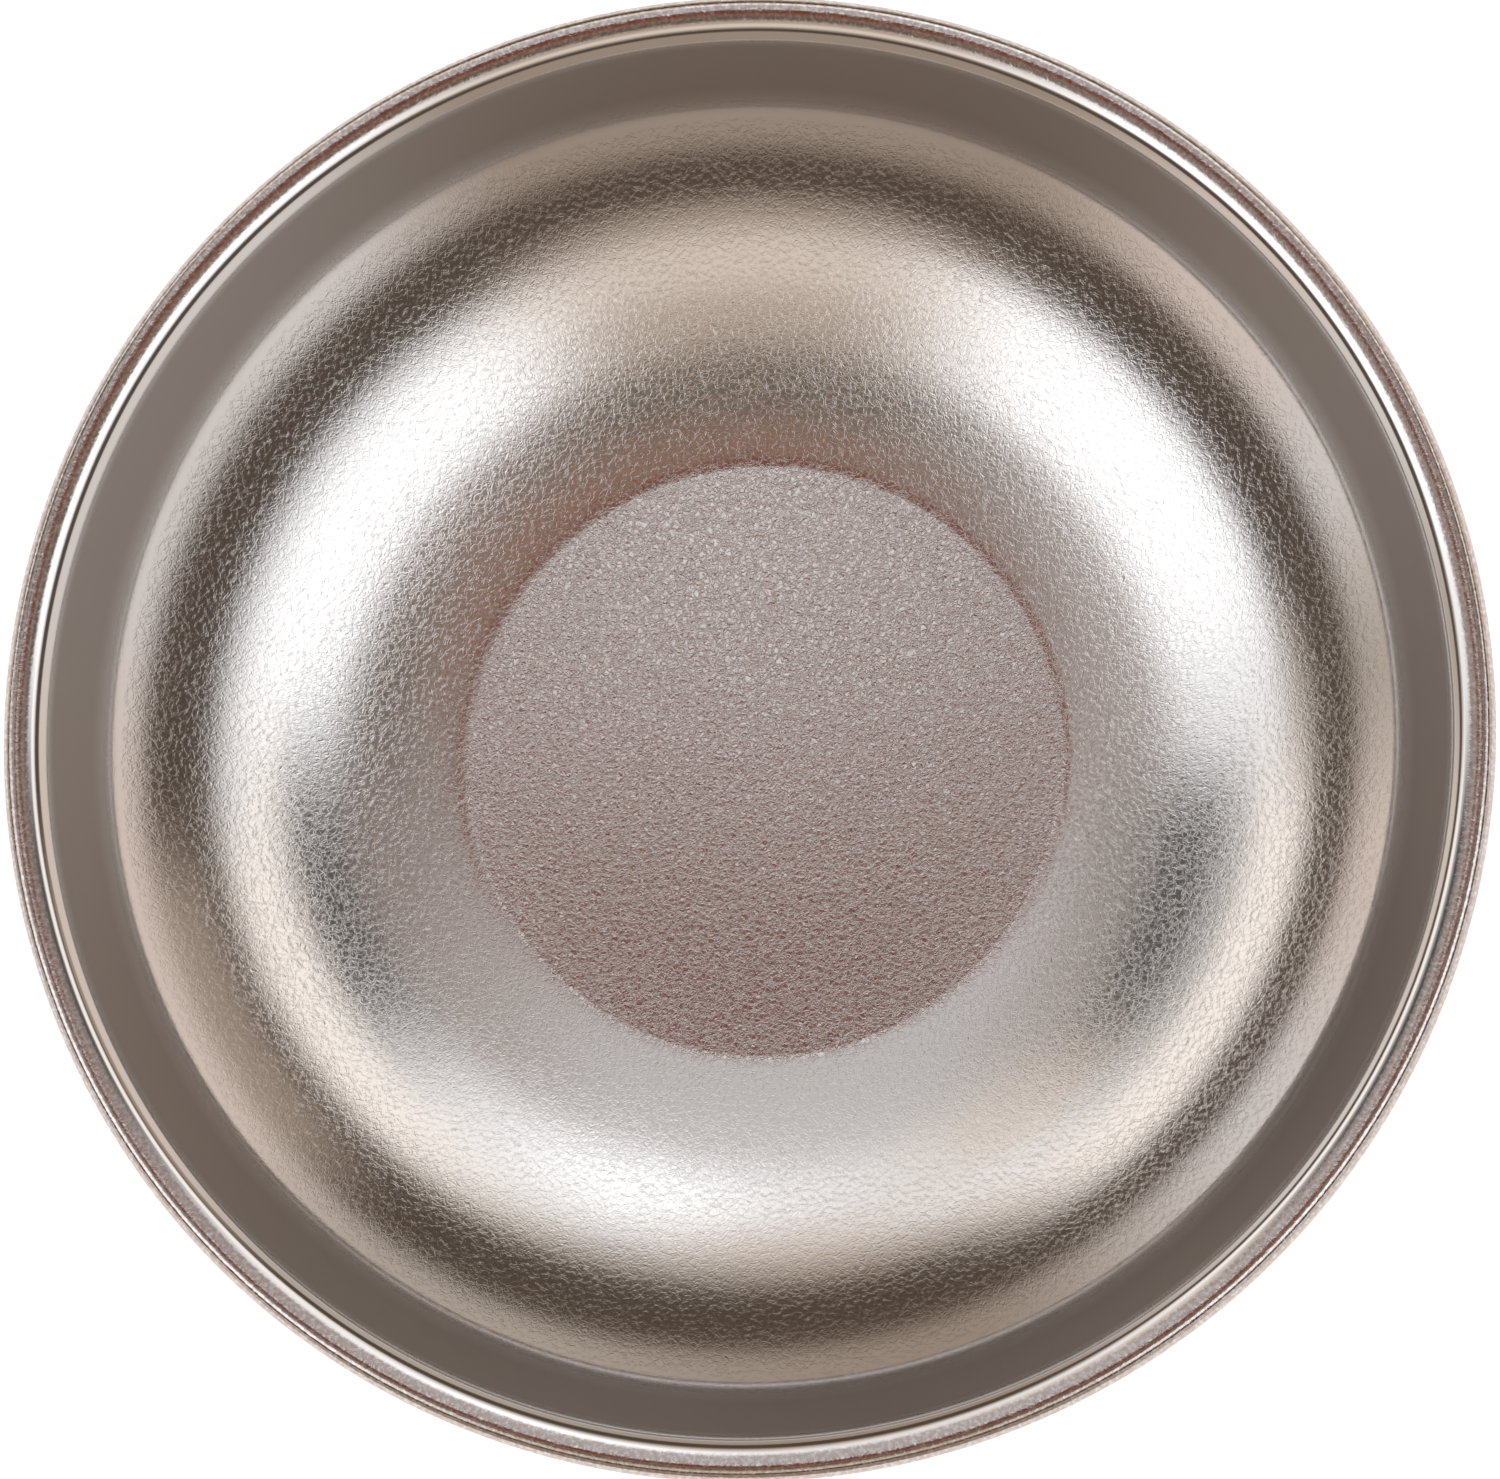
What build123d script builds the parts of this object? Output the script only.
from build123d import *

import os
from math import cos, radians, sin, tan

# Magnetic pin bowl: a drawn stainless bowl, clamped by one stud and nut on a magnet pot in a rubber boot.
# Millimetres, +Z up along the bowl's axis. The origin is the centre of the face that the bowl stands on.

# Bowl: one sheet, measured on its upper face
sheet = 0.5
rim_diameter = 108.0
floor_diameter = 46.0
floor_edge_slope = 8.0
floor_crease_radius = 8.0
wall_end_slope = 38.0
collar_bend_radius = 5.0
collar_slope = 55.0
collar_length = 5.9
bead_radius = 2.8
curl_radius = 1.0
curl_under_radius = 1.15
curl_under_turn = 145.0

# Magnet and the foam above it
magnet_diameter = 45.0
magnet_bore = 22.0
magnet_height = 9.0
magnet_chamfer = 0.6
pad_thickness = 1.0
pad_bore = 26.0

# Pole cup: pressed sheet round the magnet, with a raised well for the nut in its middle
cup_sheet = 1.5
cup_inside_bend = 0.8
cup_wall_gap = 1.5
well_bore = 15.0
well_depth = 5.0
cup_stud_hole = 5.5

# Ring between the magnet and the cup's wall
ring_play = 0.1
ring_step_down = 1.0

# Bush between the well and the bowl
bush_diameter = 12.0
bush_bore = 5.4
bush_chamfer = 0.4
flange_room = 0.25

# Stud, washers and nut, M5
stud_diameter = 5.0
stud_flange_diameter = 6.5
stud_flange = 0.8
stud_proud = 0.7
stud_point = 0.5
flat_washer_diameter = 10.0
flat_washer_bore = 5.3
flat_washer_thickness = 1.0
spring_washer_diameter = 9.2
spring_washer_bore = 5.1
spring_washer_thickness = 1.2
spring_washer_slit = 0.7
spring_washer_slit_slant = 20.0
nut_sides = 6
nut_across_flats = 8.0
nut_height = 2.7
nut_chamfer_angle = 30.0
thread_play = 0.05

# Boot: moulded rubber round the cup, gripping its brim
boot_floor = 2.0
boot_wall = 2.5
boot_draft = 0.6
boot_play = 0.1
boot_lip_reach = 0.6
boot_lip_gap = 0.2
boot_foot_round = 1.4
boot_top_round = 0.8
groove_radius = 0.6
groove_count = 3

# One overrun for every cut
overrun = 1.0

# Places that follow from the sizes above
cup_outside_bend = cup_inside_bend + cup_sheet
cup_bore_radius = magnet_diameter / 2 + cup_wall_gap
cup_outer_radius = cup_bore_radius + cup_sheet
well_radius = well_bore / 2
well_mouth_radius = well_radius + cup_outside_bend
magnet_seat = boot_floor + cup_sheet
magnet_top = magnet_seat + magnet_height
bowl_underside = magnet_top + pad_thickness
bowl_floor = bowl_underside + sheet
well_ceiling = boot_floor + well_depth
well_top = well_ceiling + cup_sheet
flat_washer_bottom = well_ceiling - flat_washer_thickness
spring_washer_bottom = flat_washer_bottom - spring_washer_thickness
nut_bottom = spring_washer_bottom - nut_height
stud_end = nut_bottom - stud_proud


def trace(start, moves, offset=0):
    """Edges along straights and tangent bends, shifted to the right of the path by offset.

    A move is (length, 0) for a straight, or (radius, degrees) for a bend, with left turns positive.
    """
    heading = 0
    point = Vector(start[0], start[1] - offset)
    edges = []
    for size, turn in moves:
        tangent = Vector(cos(radians(heading)), sin(radians(heading)))
        if turn == 0:
            edge = Line(point, point + tangent * size)
        elif turn > 0:
            edge = JernArc(point, tangent, size + offset, turn)
        else:
            edge = JernArc(point, tangent, size - offset, turn)
        edges.append(edge)
        point = edge @ 1
        heading += turn
    return edges


def turned(outline):
    """Solid of revolution about Z from an outline drawn as radius across and height up."""
    return revolve(Plane.XZ * outline, axis=Axis.Z)


def formed_sheet(start, moves, thickness):
    """Sheet of one thickness, turned about Z, whose upper face runs through the moves."""
    upper = trace(start, moves)
    lower = trace(start, moves, thickness)
    ends = [Line(upper[0] @ 0, lower[0] @ 0), Line(upper[-1] @ 1, lower[-1] @ 1)]
    return turned(make_face([*upper, *lower, *ends]))


def bar(radius, bottom, height):
    """Plain round bar standing on the height bottom."""
    return Pos(0, 0, bottom) * Cylinder(radius, height, align=(Align.CENTER, Align.CENTER, Align.MIN))


def ring(outer_radius, inner_radius, bottom, height):
    """Plain ring standing on the height bottom."""
    hole = bar(inner_radius, bottom - overrun, height + 2 * overrun)
    return bar(outer_radius, bottom, height) - hole


def bowl_shell():
    """Flat floor, crease, curved wall, steep collar, then the rim rolled outwards and under into a hollow bead."""
    floor_radius = floor_diameter / 2
    crest_radius = rim_diameter / 2 - curl_radius
    edge_sine = sin(radians(floor_edge_slope))
    wall_sine = sin(radians(wall_end_slope))
    collar_sine = sin(radians(collar_slope))
    # Counted inwards from the crest: the bead, the straight collar, the collar's bend, then the wall's end.
    collar_top = crest_radius - bead_radius * collar_sine
    bend_end = collar_top - collar_length * cos(radians(collar_slope))
    wall_end = bend_end - collar_bend_radius * (collar_sine - wall_sine)
    wall_radius = (wall_end - floor_radius) / (wall_sine - edge_sine)
    moves = [
        (floor_radius - floor_crease_radius * edge_sine, 0),
        (floor_crease_radius, floor_edge_slope),
        (wall_radius, wall_end_slope - floor_edge_slope),
        (collar_bend_radius, collar_slope - wall_end_slope),
        (collar_length, 0),
        (bead_radius, -collar_slope),
        (curl_radius, -90),
        (curl_under_radius, -curl_under_turn),
    ]
    return formed_sheet((0, bowl_floor), moves, sheet)


def weld_stud():
    """M5 stud, welded by its flange to the underside of the bowl's floor, so nothing shows inside."""
    flange = bar(stud_flange_diameter / 2, bowl_underside - stud_flange, stud_flange)
    shank = bar(stud_diameter / 2, stud_end, bowl_underside - stud_flange - stud_end)
    shank = chamfer(shank.edges().sort_by(Axis.Z)[0], stud_point)
    return flange + shank


def core_bush():
    """Steel bush from the top of the well to the bowl, counterbored for the stud's weld flange."""
    bush = ring(bush_diameter / 2, bush_bore / 2, well_top, bowl_underside - well_top)
    room = bar(
        stud_flange_diameter / 2 + flange_room,
        bowl_underside - stud_flange - flange_room,
        stud_flange + flange_room + overrun,
    )
    outer_edges = bush.edges().filter_by(GeomType.CIRCLE).sort_by(SortBy.RADIUS)[-2:]
    return chamfer(outer_edges, bush_chamfer) - room


def foam_pad():
    """Foam ring between the magnet and the bowl, against rattle."""
    return ring(magnet_diameter / 2, pad_bore / 2, magnet_top, pad_thickness)


def ring_magnet():
    """Ferrite ring with its edges broken."""
    magnet = ring(magnet_diameter / 2, magnet_bore / 2, magnet_seat, magnet_height)
    return chamfer(magnet.edges().filter_by(GeomType.CIRCLE), magnet_chamfer)


def centring_ring():
    """Plastic ring that keeps the magnet off the cup's wall, cut back at its foot to clear the cup's bend."""
    outer_radius = cup_bore_radius - ring_play
    body = ring(
        outer_radius, magnet_diameter / 2 + ring_play, magnet_seat, magnet_height - ring_step_down
    )
    foot_edge = body.edges().filter_by(GeomType.CIRCLE).group_by(Axis.Z)[0].sort_by(SortBy.RADIUS)[-1]
    return chamfer(foot_edge, cup_inside_bend)


def pole_cup():
    """Pressed pot that opens upwards, with its middle raised into a well for the nut."""
    start = (cup_stud_hole / 2, well_top)
    well_outer_radius = well_radius + cup_sheet
    moves = [
        (well_outer_radius - cup_outside_bend - start[0], 0),
        (cup_outside_bend, -90),
        (well_top - magnet_seat - cup_outside_bend - cup_inside_bend, 0),
        (cup_inside_bend, 90),
        (cup_bore_radius - well_outer_radius - 2 * cup_inside_bend, 0),
        (cup_inside_bend, 90),
        (magnet_height - cup_inside_bend, 0),
    ]
    return formed_sheet(start, moves, cup_sheet)


def flat_washer():
    """Plain washer against the ceiling of the well."""
    return ring(
        flat_washer_diameter / 2, flat_washer_bore / 2, flat_washer_bottom, flat_washer_thickness
    )


def spring_washer():
    """Split washer, tightened flat, with its slit on a slant."""
    body = ring(
        spring_washer_diameter / 2, spring_washer_bore / 2, spring_washer_bottom, spring_washer_thickness
    )
    slit = Box(
        spring_washer_slit,
        spring_washer_diameter,
        2 * spring_washer_diameter,
        align=(Align.CENTER, Align.MIN, Align.CENTER),
    )
    middle = spring_washer_bottom + spring_washer_thickness / 2
    return body - Pos(0, 0, middle) * Rot(0, spring_washer_slit_slant, 0) * slit


def hex_nut():
    """Thin hexagon nut with both ends turned back at its corners."""
    flat_radius = nut_across_flats / 2
    corner_radius = flat_radius / cos(radians(180 / nut_sides))
    prism = Pos(0, 0, nut_bottom) * extrude(RegularPolygon(corner_radius, nut_sides), nut_height)
    drop = (corner_radius - flat_radius) * tan(radians(nut_chamfer_angle))
    top = nut_bottom + nut_height
    outline = make_face(
        Polyline(
            (0, nut_bottom),
            (flat_radius, nut_bottom),
            (corner_radius, nut_bottom + drop),
            (corner_radius, top - drop),
            (flat_radius, top),
            (0, top),
            close=True,
        )
    )
    bore = bar(
        stud_diameter / 2 + thread_play, nut_bottom - overrun, nut_height + 2 * overrun
    )
    return (prism & turned(outline)) - bore


def rubber_boot():
    """Moulded cover stretched over the cup: it grips the brim, and its ringed underside is the foot."""
    cavity_radius = cup_outer_radius + boot_play
    foot_radius = cavity_radius + boot_wall
    top_radius = foot_radius - boot_draft
    lip_radius = cup_bore_radius - boot_lip_reach
    lip_top = bowl_underside - boot_lip_gap
    top_edge = lip_top + (top_radius - lip_radius) * tan(radians(floor_edge_slope))
    outline = FilletPolyline(
        (well_mouth_radius, 0),
        (foot_radius, 0),
        (top_radius, top_edge),
        (lip_radius, lip_top),
        (lip_radius, magnet_top),
        (cavity_radius, magnet_top),
        (cavity_radius, boot_floor),
        (well_mouth_radius, boot_floor),
        radius=[0, boot_foot_round, boot_top_round, 0, 0, 0, cup_outside_bend, 0],
        close=True,
    )
    boot = turned(make_face(outline))
    pitch = (foot_radius - boot_foot_round - well_mouth_radius) / (groove_count + 1)
    for number in range(1, groove_count + 1):
        boot -= Torus(well_mouth_radius + number * pitch, groove_radius)
    return boot


pieces = {
    "bowl_shell": bowl_shell,
    "weld_stud": weld_stud,
    "core_bush": core_bush,
    "foam_pad": foam_pad,
    "ring_magnet": ring_magnet,
    "centring_ring": centring_ring,
    "pole_cup": pole_cup,
    "flat_washer": flat_washer,
    "spring_washer": spring_washer,
    "hex_nut": hex_nut,
    "rubber_boot": rubber_boot,
}

os.makedirs("parts", exist_ok=True)
for name, make in pieces.items():
    piece = make()
    export_step(piece, f"parts/{name}.step")
    box = piece.bounding_box()
    print(name, "volume", round(piece.volume, 1), "from", round(box.min.Z, 2), "to", round(box.max.Z, 2))
